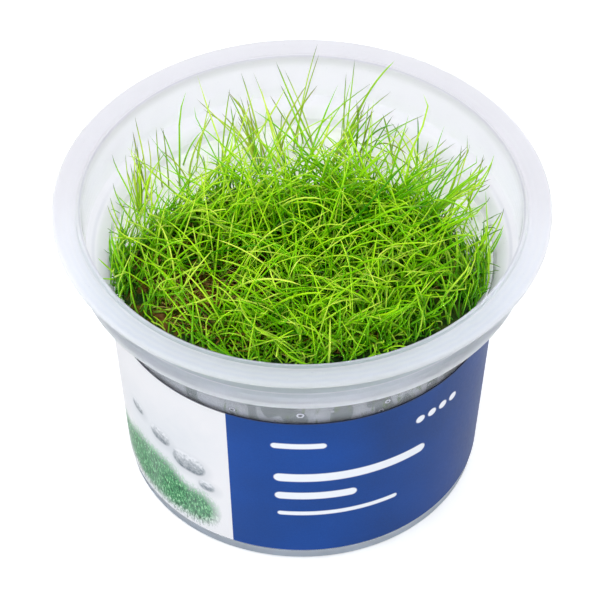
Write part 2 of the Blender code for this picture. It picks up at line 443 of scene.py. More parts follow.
def mottle_group():
    """Soft patches: a noise of a given size, its range stretched between a lowest and a highest value."""
    tree, given, result = group_of("mottle", "Value", Patch_per_mm=0.3, Detail=4.0, Lowest=0.0,
                                   Highest=1.0, Contrast=1.0)
    scale = times(given["Patch per mm"], 1 / mm)
    noise = node("TexNoise", Vector=given["Vector"], Scale=scale, Detail=given["Detail"],
                 Roughness=0.55)
    centered = calc("SUBTRACT", noise.outputs[0], 0.5)
    stretched = calc("MULTIPLY_ADD", centered, given["Contrast"], 0.5, clamp=True)
    spread = calc("SUBTRACT", given["Highest"], given["Lowest"])
    feed(result, calc("MULTIPLY_ADD", stretched, spread, given["Lowest"]))
    return tree


mottle = mottle_group()


def mottled(place, patch_per_mm, **inputs):
    """The mottling at a place."""
    return use(mottle, place, Patch_per_mm=patch_per_mm, **inputs)


# %% The group of lines round the axis
def ring_lines_group():
    """Fine lines round the axis, a little uneven in strength.

    The distance from the axis less the height runs evenly across each face of the profile, and a sine
    of it gives the lines. Noise makes them wander, fade and come back.
    """
    tree, given, result = group_of("ring_lines", "Value", Lines_per_mm=4.0, Unevenness=0.6)
    radius, height = from_axis(given["Vector"]), split(given["Vector"])["Z"]
    turns = times(calc("SUBTRACT", radius, height), given["Lines per mm"], math.tau / mm)
    noise = node("TexNoise", Vector=given["Vector"], Scale=0.35 / mm, Detail=2.0).outputs[0]
    line = calc("SINE", calc("ADD", turns, times(noise, 6.0)))
    strength = calc("MULTIPLY_ADD", noise, given["Unevenness"], 0.3)
    feed(result, calc("ADD", times(line, strength, 0.5), 0.5))
    return tree


ring_lines = ring_lines_group()
print("node groups:", mottle.name, ring_lines.name)

# %% [markdown]
# ## The cup
# The cup is one thin injection moulding in milky polypropylene. Its flange is flat with a rounded lip,
# the neck goes down to a collar, a sloped ledge leads in to the tapered body, and the base is closed.
# The fine rings on the flange, which the lid's seal presses on, are real grooves in the profile.

# %% The cup's profile
flange_thickness = 1.1 * mm
mouth_radius = 42.4 * mm
neck_radius = 42.0 * mm
neck_foot_radius = 41.3 * mm
neck_foot = 53.5 * mm
wall = 0.9 * mm
collar_radius = 43.5 * mm
collar_top = 56.0 * mm
collar_foot = 52.3 * mm
step_radius, step_height = neck_foot_radius - 1.3 * mm, neck_foot - 1.1 * mm
ledge_radius = 38.7 * mm
ledge_height = 51.6 * mm
body_top = 50.0 * mm
floor_thickness = 1.2 * mm
base_radius = 34.26 * mm
body_taper = 0.0708
groove_radii = np.array([42.9, 43.6, 44.6]) * mm
groove_depths = np.array([0.16, 0.04, 0.02]) * mm
groove_width, groove_reach = 0.13 * mm, 0.01 * mm
groove_step, profile_step = 0.06 * mm, 0.8 * mm
lip_width = 0.6 * mm
cup_columns = 192


def body_radius(height):
    """The body's outer radius grows evenly with height."""
    return base_radius + body_taper * height


def cup_profile():
    """The closed section of the cup's wall, from the middle of the underside round the lip to the floor.

    Grooves lower the flange's top by depth * exp(-((r - groove radius) / width) squared), so it has
    closer points than the rest.
    """
    outer_neck = neck_radius + wall
    underside = cup_height - flange_thickness
    corners = [
        # radius, height and fillet: up the outside
        (0.0, 0.0, 0.0),
        (body_radius(0.0), 0.0, 1.4 * mm),
        (body_radius(body_top), body_top, 0.5 * mm),
        (body_radius(body_top) + 1.4 * mm, body_top + 1.0 * mm, 0.5 * mm),
        (collar_radius, collar_foot, 1.0 * mm),
        (collar_radius, collar_top - 0.6 * mm, 0.25 * mm),
        (outer_neck, collar_top, 0.25 * mm),
        (outer_neck, underside, 0.5 * mm),
        (rim_radius, underside, 0.54 * mm),
        # and down the inside
        (rim_radius, cup_height, 0.54 * mm),
        (neck_radius, cup_height, 0.3 * mm),
        (neck_foot_radius, neck_foot, 0.4 * mm),
        (step_radius, step_height, 0.25 * mm),
        (ledge_radius, ledge_height, 0.3 * mm),
        (ledge_radius - 1.4 * mm, ledge_height - 0.8 * mm, 0.4 * mm),
        (body_radius(gel_top) - wall, gel_top, 0.4 * mm),
        (body_radius(floor_thickness) - wall, floor_thickness, 1.2 * mm),
        (0.0, floor_thickness, 0.0),
    ]
    profile = fine(rounded(corners), profile_step)
    on_top = (profile[:, 1] > cup_height - too_small) & (profile[:, 0] > mouth_radius)
    first, last = np.flatnonzero(on_top)[[0, -1]]
    close = np.arange(mouth_radius, rim_radius - lip_width, groove_step)[::-1]
    flat = np.stack([close, np.full_like(close, cup_height)], 1)
    profile = np.concatenate([profile[:first], flat, profile[last + 1:]])
    depth = groove_depths * np.exp(-((profile[:, :1] - groove_radii) / groove_width) ** 2)
    profile[:, 1] -= np.where(profile[:, 1] > cup_height - groove_reach, depth.sum(1), 0)
    return profile


cup_mesh = turned("cup_moulding", cup_profile(), cup_columns)

# %% [markdown]
# Polypropylene is clear with a milk in it: light goes through a wall and comes out blurred. A
# Principled shader does both, with most of its weight on a rough transmission and the rest on a pale
# diffuse colour. The flange, the collar's foot and the ledge are thicker and so milkier than the walls:
# each has a finish with a smaller share of transmission, and every face is given one by where it lies.
# The body below the collar is clear enough to see the gel's bubbles, so it is smoother there. Shade is
# painted into the colour as faint grey lines at the creases, and painted highlights gather in the lip and
# along the collar's foot. In front, a soft painted shade lies on the neck under the flange and reaches the
# collar, and the foot below the label is painted greyer, as in shade. The flange is painted darker than
# the walls to offset the strong light on its top, and lighter in front, where it lies over the dark turf.
# Mottling and mould lines vary the colour, roughness and bump, and in front the flange's mould lines are
# painted in as bluish bands, partly a painted reflection.

# %% The milky plastic
crease_radius = 42.25 * mm
outside_neck = 43.0 * mm
collar_inside, foot_inside = 42.4 * mm, 42.6 * mm
clear_height, milky_height = 46.3 * mm, 47.8 * mm
flange_depth, foot_half, ledge_half = 1.8 * mm, 1.2 * mm, 1.75 * mm


def band(value, middle, half, soft):
    """1 where a value lies within half of the middle, falling to 0 over a soft width beyond."""
    apart = calc("ABSOLUTE", calc("SUBTRACT", value, middle))
    return course(apart, half, half + soft, 1.0, 0.0)


def milky_plastic(name, clearness):
    """The plastic with one share of clear transmission. Its colours follow the place on the cup.

    Each tint is laid over the last one by the product of its shares.
    """
    material, place = new_material(name)
    radius = from_axis(place)
    _, y, height = split(place)
    cloud = mottled(place, 0.12, Detail=3.0, Contrast=1.6)
    speck = mottled(place, 1.3, Detail=1.0)
    skin = mottled(place, 1.6, Lowest=0.92, Highest=1.06)
    lines = use(ring_lines, place, Lines_per_mm=0.8)
    in_front = course(y, 5 * mm, -30 * mm)
    deep_front = course(y, 0.0, -40 * mm)
    thick = course(height, cup_height - 2.6 * mm, cup_height - 0.9 * mm)
    at_foot = course(height, label_foot, label_foot - 1.6 * mm)
    walls = ramp(cloud, (0.2, (0.932, 0.932, 0.972)), (0.8, (0.944, 0.944, 0.985)))
    # The flange is painted darker than the walls to offset the strong light on its top, and lighter in front,
    # where it lies over the dark turf; in front its mould lines are painted as bluish bands, partly a painted
    # reflection.
    flange = ramp(cloud, (0.2, (0.804, 0.799, 0.838)), (0.8, (0.826, 0.820, 0.858)))
    flange = mixed(in_front, flange, (0.955, 0.970, 1.0))
    flange = mixed(times(lines, in_front, 0.50), flange, (0.770, 0.810, 0.930))
    color = mixed(thick, walls, flange)
    tints = [
        # a painted highlight in the lip, brighter in front
        ((0.985, 0.99, 1.0), band(radius, rim_radius, 0.20 * mm, 0.45 * mm),
         calc("MULTIPLY_ADD", in_front, 0.45, 0.55)),
        # painted shade: a grey line at the crease where the flange turns down into the neck
        ((0.42, 0.42, 0.50), band(radius, crease_radius, 0.06 * mm, 0.24 * mm), thick, 0.5),
        # painted shade: a grey line at the crease at the neck's foot, apart from the back
        ((0.45, 0.48, 0.55), band(radius, step_radius, 0.12 * mm, 0.35 * mm),
         band(height, step_height, 0.45 * mm, 0.2 * mm), course(y, 22 * mm, 8 * mm), 0.35),
        # painted shade on the neck between the flange and the collar, deepest in front
        ((0.60, 0.67, 0.70), band(radius, neck_radius + wall, 0.3 * mm, 0.1 * mm),
         band(height, collar_top + 4.1 * mm, 4.0 * mm, 0.1 * mm), deep_front),
        # the painted shadow on the collar's top, under the flange
        ((0.60, 0.70, 0.71), band(height, collar_top, 0.4 * mm, 2.6 * mm),
         calc("GREATER_THAN", radius, outside_neck), deep_front, 0.6),
        # a painted highlight along the collar's rounded foot
        ((0.97, 0.985, 1.0), band(height, collar_foot + 0.4 * mm, 0.9 * mm, 0.4 * mm),
         calc("GREATER_THAN", radius, foot_inside)),
        # specks in the plastic, and the foot below the label painted greyer, as in shade
        ((0.45, 0.47, 0.52), course(speck, 0.735, 0.76, 0.0, 0.16)),
        ((0.73, 0.79, 0.87), at_foot),
    ]
    for tint, *shares in tints:
        color = mixed(times(*shares), color, tint)
    roughness = course(height, clear_height, milky_height, 0.12, 0.70)
    roughness = calc("MULTIPLY_ADD", at_foot, 0.5, roughness)
    return finished(material, Base_Color=color, Roughness=times(roughness, skin), IOR=1.13,
                    Transmission_Weight=clearness, Normal=bumpy(lines, 0.3, 0.05 * mm))


put("cup_moulding", cup_mesh, milky_plastic("milky_walls", 0.90), ["cup"])
cup_mesh.materials.append(milky_plastic("milky_flange", 0.68))
cup_mesh.materials.append(milky_plastic("milky_ledge", 0.40))
face_middles = triples(cup_mesh.polygons, "center")
face_radius, face_height = distance_of(face_middles), face_middles[:, 2]
is_flange = face_height > cup_height - flange_depth
is_flange |= (np.abs(face_height - collar_foot) < foot_half) & (face_radius > collar_inside)
is_ledge = (np.abs(face_height - ledge_height) < ledge_half) & (face_radius < ledge_radius + 0.9 * mm)
finish_of_face = np.where(is_flange, 1, np.where(is_ledge, 2, 0)).astype(np.int32)
cup_mesh.polygons.foreach_set("material_index", finish_of_face)
print("faces of the walls, the flange and the ledge:", np.bincount(finish_of_face))

# %% [markdown]
# ## The gel
# The gel fills the body up to the ledge. Through the wall it shows grey, with darker and lighter
# wedges where it has torn and drawn back, and a few trapped bubbles that lie against the wall. Only
# its side can be seen, in the strip between the label and the collar.

# %% The gel's body
gel_clearance = 0.12 * mm
gel_creep = 0.35 * mm
gel_columns = 160


def gel_profile():
    """A tapered block with a rounded foot, whose top creeps up a little where it wets the wall."""
    foot = floor_thickness + gel_clearance
    inner_foot, inner_top = (body_radius(height) - wall - gel_clearance for height in (foot, gel_top))
    low_top = gel_top - gel_creep
    corners = [(0.0, foot, 0.0), (inner_foot, foot, 1.3 * mm), (inner_top, gel_top, 0.15 * mm),
               (inner_top - 1.2 * mm, low_top, 0.5 * mm), (0.0, low_top, 0.0)]
    return fine(rounded(corners), 0.9 * mm)


def nutrient_gel():
    """Grey gel: a stretched, slanted noise cut in two tones, with grain and a few green threads in it.

    Its side is lifted towards the label, to make up for the shadow that the film's edge casts on it.
    """
    material, place = new_material("nutrient_gel")
    height = split(place)["Z"]
    slant = node("Mapping", Vector=place, Rotation=(0.5, 0.35, 0.2), Scale=(1.0, 1.0, 0.45))
    wedge = mottled(slant.outputs[0], 0.2, Detail=1.0, Contrast=2.4)
    side = ramp(wedge, (0.30, (0.125, 0.160, 0.145)), (0.45, (0.170, 0.205, 0.195)),
                (0.49, (0.350, 0.375, 0.380)), (0.75, (0.430, 0.450, 0.455)))
    grain = mottled(place, 1.8, Detail=6.0, Lowest=0.78, Highest=1.2)
    side = mixed(1.0, side, grain, "MULTIPLY")
    upwards = node("Mapping", Vector=place, Scale=(1.0, 1.0, 0.35))
    thread = mottled(upwards.outputs[0], 0.55, Detail=3.0, Contrast=2.6)
    side = mixed(course(thread, 0.70, 0.92, 0.0, 0.7), side, (0.12, 0.19, 0.06))
    lift = course(height, label_top, label_top + 2.4 * mm, 1.7, 1.0)
    side = mixed(1.0, side, lift, "MULTIPLY")
    # The top is painted near white, standing in for the light that comes through the gel and the wall.
    on_top = course(height, gel_top - 1.0 * mm, gel_top - 0.4 * mm)
    return finished(material, Base_Color=mixed(on_top, side, (0.96, 0.97, 0.96)),
                    Roughness=mottled(place, 0.8, Lowest=0.2, Highest=0.4),
                    Subsurface_Weight=0.25, Subsurface_Radius=(1.2, 1.2, 1.0), Subsurface_Scale=mm)


put("gel_block", turned("gel_block", gel_profile(), gel_columns), nutrient_gel(), ["gel"])

# %% [markdown]
# The bubbles are flat drops of air against the wall. Each is a squeezed ball, worked out as one small
# grid and then placed by its angle and height. Light bends at a bubble's border, so it shows as a bright
# ring with a darker middle. The finish gets that from how far each point lies from its bubble's middle.

# %% Bubbles against the wall
bubble_rings, bubble_columns = 13, 18
bubble_depth = 0.05 * mm
bubble_layout = [
    # angle in degrees from the front, height, width and height of the bubble in mm
    (-21.0, 42.5, 1.5, 1.1), (-0.5, 43.4, 1.7, 1.3), (24.0, 41.3, 1.4, 1.1), (26.0, 43.4, 1.3, 1.0),
    (-35.0, 42.3, 0.6, 0.5), (9.0, 44.1, 0.6, 0.5), (41.0, 42.6, 0.8, 0.7), (-8.0, 41.6, 0.5, 0.5),
]


def bubble_mesh():
    """All bubbles as one mesh: squeezed balls just clear of the gel's side.

    A ball's point at polar angle p and turn q is (sin p cos q, cos p, sin p sin q): aside, outwards and
    up. It is scaled to the bubble's width, depth and height, then turned to its place on the wall. The
    distance from the middle, seen from outside, is stored with each point.
    """
    polar = np.linspace(0, math.pi, bubble_rings + 2)[1:-1, None]
    turn = np.linspace(0, math.tau, bubble_columns, endpoint=False)
    ball = on_rings(np.sin(polar), turn, np.cos(polar)).reshape(-1, 3)
    aside, up, out = np.concatenate([ball, [[0, 0, 1], [0, 0, -1]]]).T
    angle, height, width, tall = np.array(bubble_layout).T[..., None]
    round_it = np.radians(angle) - math.pi / 2
    radius = body_radius(height * mm) - wall - 0.06 * mm + out * bubble_depth
    along = aside * width / 2 * mm
    points = np.stack([radius * np.cos(round_it) - along * np.sin(round_it),
                       radius * np.sin(round_it) + along * np.cos(round_it),
                       (up * tall / 2 + height) * mm], -1)
    faces = [repeated(part[:, ::-1], len(points), len(aside))
             for part in ringed_faces(bubble_rings, bubble_columns)]
    mesh = mesh_of("gel_bubbles", points.reshape(-1, 3), *faces)
    carry(mesh, "outwards", np.tile(np.hypot(aside, up), len(points)))
    return mesh


def air_bubble():
    """Grey in the middle, white in a ring and dark at the border, by the distance from the middle."""
    material, place = new_material("air_bubble")
    tone = ramp(carried(place, "outwards")["Fac"], (0.0, (0.20, 0.22, 0.22)), (0.42, (0.16, 0.18, 0.18)),
                (0.58, (0.95, 0.97, 1.0)), (0.84, (0.92, 0.94, 0.98)), (0.97, (0.06, 0.07, 0.07)))
    return finished(material, Base_Color=tone,
                    Roughness=mottled(place, 2.0, Lowest=0.08, Highest=0.2))


put("gel_bubbles", bubble_mesh(), air_bubble(), ["gel"])

# %% [markdown]
# ## The label
# The label is one strip of printed film that goes round the body and laps over itself at the back. It
# is a surface of two parameters, the way round and the way up, given a thickness by a second layer.
# Its own UV map counts millimetres, so that the print can be laid out with a ruler.

# %% The label's shape
label_gap = 0.06 * mm
label_thickness = 0.2 * mm
lap_clearance = 0.03 * mm
lap_angle, lap_ease = math.radians(9), math.radians(4)
label_columns, label_rows = 220, 24


def label_arrays():
    """Points, quads and millimetre coordinates of the wrap.

    The angle runs from the back once round and on by the lap. The radius is the body's at that height,
    plus one thickness that eases in over the lap, so the free end lies on the first one. The outer
    layer is one thickness further out, and the two layers are joined along all four edges.
    """
    turn = np.linspace(0, 1, label_columns) * (math.tau + lap_angle)
    height = (label_foot + np.linspace(0, 1, label_rows) * (label_top - label_foot))[:, None]
    over = np.clip((turn - math.tau + lap_ease) / lap_ease, 0, 1)
    ease = over * over * (3 - 2 * over) * (label_thickness + lap_clearance)
    inner = body_radius(height) + label_gap + ease
    layers = [on_rings(inner + lift, math.pi / 2 + turn, height) for lift in (label_thickness, 0.0)]
    numbers = np.arange(inner.size).reshape(inner.shape)
    edge = np.concatenate([numbers[0, :-1], numbers[:-1, -1], numbers[-1, :0:-1], numbers[:0:-1, 0]])
    following = np.roll(edge, -1)
    sides = np.stack([edge + inner.size, following + inner.size, following, edge], -1)
    outer = grid_quads(label_rows, label_columns, False)
    quads = np.concatenate([outer, outer[:, ::-1] + inner.size, sides])
    along = (turn - math.pi) * body_radius(label_foot)
    flat = np.stack(np.broadcast_arrays(along / mm, (height - label_foot) / mm), -1)
    return np.concatenate(layers).reshape(-1, 3), quads, np.concatenate([flat, flat]).reshape(-1, 2)


label_points, label_quads, label_flat = label_arrays()
label_mesh = mesh_of("label_wrap", label_points, label_quads, [])
ruler = label_mesh.uv_layers.new(name="ruler")
ruler.uv.foreach_set("vector", label_flat[label_quads.ravel()].astype(np.float32).ravel())
label_mesh.set_sharp_from_angle(angle=math.radians(40))
print(f"the strip is {np.ptp(label_flat[:, 0]):.0f} x {np.ptp(label_flat[:, 1]):.1f} mm")

# %% [markdown]
# The print is generic: a blue field with plain white bars and dots, and a white panel with a mossy
# cushion and a few pebbles. Each bar, dot or pebble is a mask worked out from the ruler coordinates by a
# group, with a soft edge as ink has, so it stays crisp at any size. The cushion's blades are a noise
# stretched upwards, and the same noise frays its border.

# %% The group for printed bars and rounds
def printed_bar_group():
    """1 inside a bar with round ends, 0 outside, with a soft edge.

    The distance to the bar is the length of (max(|x - X| - half length, 0), y - Y), and the mask falls
    from 1 to 0 where that distance passes the half height.
    """
    tree, given, result = group_of("printed_bar", "Mask", X=0.0, Y=0.0, Half_length=1.0,
                                   Half_height=0.5, Edge=0.12)
    x, y, _ = split(given["Vector"])
    aside = calc("ABSOLUTE", calc("SUBTRACT", x, given["X"]))
    beyond = calc("MAXIMUM", calc("SUBTRACT", aside, given["Half length"]), 0.0)
    above = calc("SUBTRACT", y, given["Y"])
    distance = calc("SQRT", calc("MULTIPLY_ADD", beyond, beyond, times(above, above)))
    inside = calc("DIVIDE", calc("SUBTRACT", given["Half height"], distance), given["Edge"])
    feed(result, calc("MULTIPLY_ADD", inside, 0.5, 0.5, clamp=True))
    return tree


printed_bar = printed_bar_group()


def printed(spot, shape, edge=0.12):
    """The mask of one shape: X, Y, half length and half height in mm on the ruler."""
    names = ("X", "Y", "Half_length", "Half_height")
    return use(printed_bar, spot, Edge=edge, **dict(zip(names, shape)))


# %% The label's print
panel_left, panel_right = -62.0, -13.6
label_height = (label_top - label_foot) / mm
bars = [
    # X, Y, half length, half height: the large line, the two under it, and a fine rule
    (9.5, 22.5, 13.5, 1.15), (2.6, 17.0, 6.6, 1.0), (7.0, 11.6, 11.0, 0.55), (-0.6, 32.0, 4.2, 0.75),
]
dots = [(22.5 + 2.7 * i, 31.5, 0.0, 0.95) for i in range(4)]
washes = [(-36.0, 20.0, 0.0, 8.0), (-24.0, 24.0, 0.0, 6.0), (-29.0, 8.0, 0.0, 9.0)]
mounds = [(-41.0, 7.0, 2.0, 5.0), (-33.0, 8.0, 3.0, 6.5), (-24.0, 6.5, 2.5, 4.6)]
pebbles = [(-22.5, 18.5, 1.3, 2.5), (-29.5, 21.0, 0.8, 1.8), (-18.6, 14.0, 0.4, 1.3), (-36.5, 23.0, 0.7, 1.3)]


def blue_field(place, flat, x):
    """Blue ink, darker away from the panel and finely dotted, with the white bars and dots on it."""
    fade = mottled(place, 0.05, Detail=2.0)
    from_panel = calc("ABSOLUTE", calc("SUBTRACT", x, panel_right))
    lightness = calc("MULTIPLY_ADD", from_panel, -0.010, calc("ADD", fade, 0.13))
    color = ramp(lightness, (0.15, (0.006, 0.046, 0.205)), (0.75, (0.006, 0.066, 0.325)))
    ink = mottled(place, 3.2, Detail=2.0, Lowest=0.82, Highest=1.18)
    color = mixed(1.0, color, ink, "MULTIPLY")
    for shape in bars + dots:
        color = mixed(printed(flat, shape), color, (0.86, 0.88, 0.92))
    return color


def white_panel(place, flat, x, y):
    """Paper with pale washes, a frayed cushion of blades, and pebbles that are lighter on top."""
    wobble = mottled(place, 0.35, Detail=5.0, Lowest=-2.2, Highest=2.2, Contrast=1.5)
    shifted = node("CombineXYZ", X=calc("ADD", x, wobble), Y=calc("ADD", y, wobble))
    panel = (0.826, 0.818, 0.835)
    for shape in washes:
        wash = times(printed(shifted.outputs[0], shape, 5.0), 0.28)
        panel = mixed(wash, panel, (0.55, 0.62, 0.68))
    narrow = node("Mapping", Vector=flat, Scale=(2.6, 0.9, 1.0)).outputs[0]
    blades = node("TexNoise", Vector=narrow, Scale=1.0, Detail=5.0, Roughness=0.65,
                  Distortion=0.8).outputs[0]
    frayed_y = calc("MULTIPLY_ADD", blades, -9.0, calc("ADD", y, 4.5))
    frayed = node("CombineXYZ", X=x, Y=frayed_y).outputs[0]
    green = ramp(blades, (0.36, (0.006, 0.050, 0.025)), (0.46, (0.020, 0.170, 0.065)),
                 (0.55, (0.070, 0.360, 0.130)), (0.66, (0.480, 0.780, 0.480)))
    for shape in mounds:
        panel = mixed(times(printed(frayed, shape, 1.4), 0.9), panel, green)
    speckle = mottled(place, 1.3, Lowest=-0.4, Highest=0.4, Contrast=1.6)
    for pebble_x, pebble_y, length, radius in pebbles:
        under = printed(flat, (pebble_x + 0.5, pebble_y - 0.6, length, radius), 1.6)
        panel = mixed(times(under, 0.35), panel, (0.30, 0.34, 0.38))
        upward = calc("MULTIPLY_ADD", calc("SUBTRACT", y, pebble_y), 0.4 / radius,
                      calc("ADD", speckle, 0.55))
        stone = ramp(upward, (0.1, (0.16, 0.19, 0.22)), (0.5, (0.42, 0.45, 0.48)),
                     (0.9, (0.80, 0.81, 0.84)))
        pebble = printed(flat, (pebble_x, pebble_y, length, radius), 0.3)
        panel = mixed(pebble, panel, stone)
    return panel


def printed_film():
    """The panel laid into the field, with a painted dark line of shade along the film's top edge."""
    material, place = new_material("printed_film")
    spot = node("UVMap", place.id_data)
    spot.uv_map = "ruler"
    flat = spot.outputs["UV"]
    x, y, _ = split(flat)
    on_panel = times(calc("GREATER_THAN", x, panel_left), calc("LESS_THAN", x, panel_right))
    color = mixed(on_panel, blue_field(place, flat, x), white_panel(place, flat, x, y))
    # a painted line of shade along the film's top edge
    painted_edge_shade = course(y, label_height - 0.28, label_height - 0.12, 0.0, 0.85)
    grain = mottled(place, 6.0, Detail=2.0)
    return finished(material, Base_Color=mixed(painted_edge_shade, color, (0.030, 0.036, 0.050)),
                    Roughness=mottled(place, 1.2, Lowest=0.30, Highest=0.42),
                    Normal=bumpy(grain, 0.12, 0.02 * mm), Specular_IOR_Level=0.14)


put("label_wrap", label_mesh, printed_film(), ["label"])

# %% [markdown]
# ## How a leaf grows
# A leaf of this plant is a needle: round, half a millimetre thick, one or two centimetres long, with a
# fine point. It leaves its crown nearly upright and leans over more and more. So its line comes from
# turning a direction: the tilt from upright goes from a first to a last value, the heading drifts a
# little, and the points are the running sum of the directions. A tube of a few sides is carried along
# the line. Thousands of leaves are worked out at once, one array for all.

# %% Lines of leaves
any_slant = np.array([0.37, -0.61, 0.07])
free_of_wall, least_room = 0.3 * mm, 0.6 * mm
room_starts, room_full = 0.8 * mm, 3 * mm


def rising(value, start, width):
    """0 up to the start, 1 from start + width on, and an even rise between."""
    return np.clip((value - start) / width, 0, 1)


def leaf_lines(root, length, tilt_start, tilt_end, heading, drift, steps, bend=1.4):
    """Points along many leaves at once, as an array of leaves by steps by 3.

    At a share t of its length a leaf tilts tilt_start + (tilt_end - tilt_start) * t ** bend from upright
    and heads for heading + drift * t. Its direction is (sin tilt cos heading, sin tilt sin heading,
    cos tilt), and its points are the root plus the running sum of direction times step length.
    """
    t = (np.arange(steps - 1) + 0.5) / (steps - 1)
    tilt = tilt_start[:, None] + (tilt_end - tilt_start)[:, None] * t ** bend
    toward = heading[:, None] + drift[:, None] * t
    run = np.cumsum(on_rings(np.sin(tilt), toward, np.cos(tilt)) * (length / (steps - 1))[:, None, None], 1)
    return root[:, None, :] + np.concatenate([np.zeros((len(root), 1, 3)), run], 1)


def kept_inside(lines, room_above, narrowing):
    """Presses leaves that lean out too far against the wall, as the real ones lie against it.

    A distance from the axis beyond free becomes free + room * tanh((distance - free) / room), so that
    it never passes free + room. Above the ledge the room grows to room_above, and free goes out with
    the plug's edge and then shrinks by narrowing for each unit of height, as the leaves lean inwards.
    """
    above_ledge = np.maximum(lines[..., 2] - ledge_height, 0)
    free = turf_radius - free_of_wall - narrowing * above_ledge
    free += (plug_edge(angle_of(lines)) - turf_radius) * rising(above_ledge, 0, room_starts)
    room = least_room + (room_above - least_room) * rising(above_ledge, 0, room_full)
    distance = distance_of(lines)
    pressed = np.where(distance > free, free + room * np.tanh((distance - free) / room), distance)
    lines[..., :2] *= (pressed / np.maximum(distance, 1e-9))[..., None]  # 1e-9 guards the axis
    return lines


def leaf_tubes(lines, thickness, sides):
    """Tubes along many lines at once: each leaf's points, their share of its length, and how far the
    surface there is turned up, from -1 to 1.

    Each step has a ring square to the leaf's direction, with radius thickness / 2 * (1 - 0.28 t) *
    sqrt(1 - t ** 5) at share t. A point closes the root end, and the last step is the tip.
    """
    count, steps, _ = lines.shape
    way = np.gradient(lines, axis=1)
    way /= np.linalg.norm(way, axis=2, keepdims=True)
    aside = np.cross(way, any_slant)
    aside /= np.linalg.norm(aside, axis=2, keepdims=True)
    across = np.cross(way, aside)
    t = np.linspace(0, 1, steps)[:-1]
    radius = thickness[:, None] / 2 * (1 - 0.28 * t) * np.sqrt(1 - t ** 5)
    angle = np.linspace(0, math.tau, sides, endpoint=False)[:, None]
    circle = aside[:, :-1, None] * np.cos(angle) + across[:, :-1, None] * np.sin(angle)
    rings = lines[:, :-1, None] + circle * radius[:, :, None, None]
    points = np.concatenate([rings.reshape(count, -1, 3), lines[:, :1], lines[:, -1:]], 1)
    along = np.concatenate([np.repeat(t, sides), [0.0, 1.0]])
    turned_up = np.concatenate([circle[..., 2].reshape(count, -1), np.zeros((count, 2))], 1)
    return points, along, turned_up


# %% [markdown]
# ## Where the plants stand
# The plants stand on a sunflower spiral, which spaces them evenly, and are then moved a little at
# random. The bed isn't equally full: it thins out towards the back, where the pale gel and the wall
# show between the leaves, and at the front left, where brown litter shows. So each place has a share of
# full growth, and a plant is kept with that chance.

# %% Scatter the crowns
chance = np.random.default_rng(20)
golden_angle = math.pi * (3 - math.sqrt(5))
crown_places = 430
crown_inset = 0.7 * mm
bulges = [
    # direction in degrees and how far out: at the front left and the front right
    (202, 3.2 * mm), (334, 2.2 * mm),
]
bulge_width = math.radians(17)


def plug_edge(angle):
    """How far out the plants reach: they bulge by depth * exp(-(turn / width) squared) at two places."""
    edge = turf_radius
    for direction, depth in bulges:
        turn = (angle - math.radians(direction) + math.pi) % math.tau - math.pi
        edge = edge + depth * np.exp(-(turn / bulge_width) ** 2)
    return edge


def toward_back(angle):
    """0 in front and 1 at the back, for what changes from front to back."""
    return np.clip(0.42 + 0.58 * np.sin(angle), 0, 1) ** 1.5


def ground_waves(places, seed, size, waves=12):
    """A smooth random height, mostly from -1 to 1: the mean of sine waves in random directions."""
    draw = np.random.default_rng(seed)
    way = draw.uniform(0, math.tau, waves)
    long = size * draw.uniform(0.6, 1.6, waves)
    phase = draw.uniform(0, math.tau, waves)
    run = places[..., :1] * np.cos(way) + places[..., 1:2] * np.sin(way)
    return np.sin(run * math.tau / long + phase).mean(-1) * 2.2


def toward_far(places):
    """0 over the full turf and 1 in the thin part behind, whose border curves forward at the sides."""
    x, y = places[..., 0], places[..., 1]
    return rising(y + x * x / (70 * mm), 11.5 * mm, 9 * mm)


def bare_patch(places):
    """1 in the middle of the thin, littered patch at the front left, fading to 0 around it."""
    x, y = places[..., 0], places[..., 1]
    return np.exp(-(((x + 18 * mm) / (13 * mm)) ** 2 + ((y + 18 * mm) / (9 * mm)) ** 2))


def share_of_growth(places):
    """The share of full growth at a place: less at the back and in the front left, with random patches."""
    front = rising(-places[..., 1], 20 * mm, 13 * mm)
    growth = 1.0 - 0.92 * toward_far(places) - 0.10 * front - 0.60 * bare_patch(places)
    return np.clip(growth + 0.20 * ground_waves(places, 7, 11 * mm), 0.04, 1.0)


def share_of_height(places):
    """How long the leaves grow: longest in the middle, shorter to the sides, the right and the front."""
    front = rising(-places[..., 1], 8 * mm, 24 * mm)
    aside = rising(np.abs(places[..., 0]), 0, turf_radius) ** 2
    right = rising(places[..., 0], 0, turf_radius)
    return 1.12 - 0.25 * aside - 0.38 * front - 0.10 * right


def foot_middle(name):
    """The middle of a CAD tuft's foot, from its lowest points."""
    corners = triples(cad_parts[name].data.vertices, "co")
    return corners[corners[:, 2] < turf_foot + 0.1 * mm, :2].mean(0)


tuft_middles = np.array([foot_middle(name) for name in tuft_names])
number = np.arange(crown_places) + 0.5
spiral_angle = number * golden_angle
spiral_radius = (plug_edge(spiral_angle) - crown_inset) * np.sqrt(number / crown_places)
crowns = on_rings(spiral_radius, spiral_angle, 0.0)[:, :2]
crowns += chance.normal(0, 0.5 * mm, crowns.shape)
crowns = crowns[chance.random(crown_places) < share_of_growth(crowns)]
crown_headings = chance.uniform(0, math.tau, len(crowns))
print(f"{len(crowns)} crowns, one for each {math.pi * turf_radius ** 2 / len(crowns) / mm ** 2:.1f} mm2")

# %% [markdown]
# ## The mat under the leaves
# Old leaf bases and roots are packed in a dark felt, a few millimetres thick. It is a height field on
# rings, low at its wavy edge and higher inside. At the back it stops short, and the leaves there grow
# straight from the gel. It is rusty brown in the thin patch at the front left, and mossy elsewhere.

